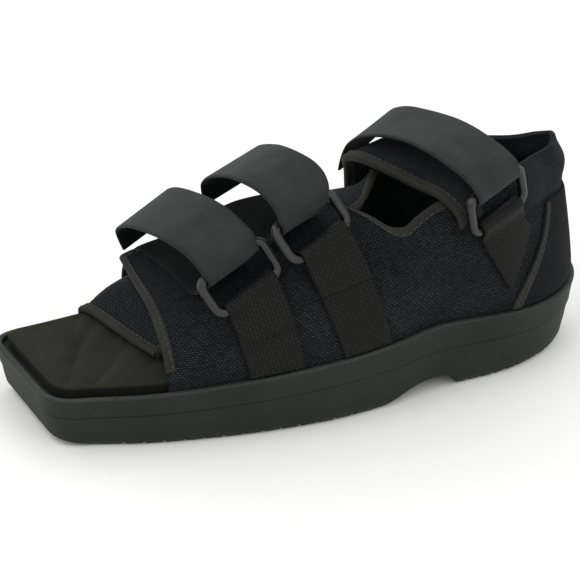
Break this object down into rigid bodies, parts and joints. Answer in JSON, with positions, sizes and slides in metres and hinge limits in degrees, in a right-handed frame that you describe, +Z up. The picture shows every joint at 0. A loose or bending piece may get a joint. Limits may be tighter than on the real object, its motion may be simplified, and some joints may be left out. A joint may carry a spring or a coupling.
{
  "type": "post operative shoe",
  "caption": "Open-toe post operative shoe with a moulded rocker sole, padded mesh upper and webbing straps through side rings.",
  "frame": {"origin": "middle of the shoe's box, on the floor plane that the tread rests on", "axes": "+X towards the toe, +Y towards the outer side with the rings, +Z up"},
  "size_m": [0.2998, 0.1172, 0.1274],
  "materials": {
    "sole_rubber": "satin moulded",
    "insole_foam": "matt foam",
    "mesh_fabric": "knitted mesh over foam",
    "counter_fabric": "smooth laminated fabric",
    "flap_fabric": "padded fabric",
    "strap_webbing": "woven webbing",
    "keeper_webbing": "coarse woven webbing",
    "ring_plastic": "moulded, semi gloss"
  },
  "bodies": {
    "root": {"ankle_flap": "flap_fabric", "heel_counter": "counter_fabric", "insole": "insole_foam", "keeper_1": "keeper_webbing", "keeper_2": "keeper_webbing", "keeper_3": "keeper_webbing", "ring_1": "ring_plastic", "ring_2": "ring_plastic", "ring_3": "ring_plastic", "sole": "sole_rubber", "strap_1": "strap_webbing", "strap_2": "strap_webbing", "strap_3": "strap_webbing", "upper": "mesh_fabric"}
  },
  "joints": []
}
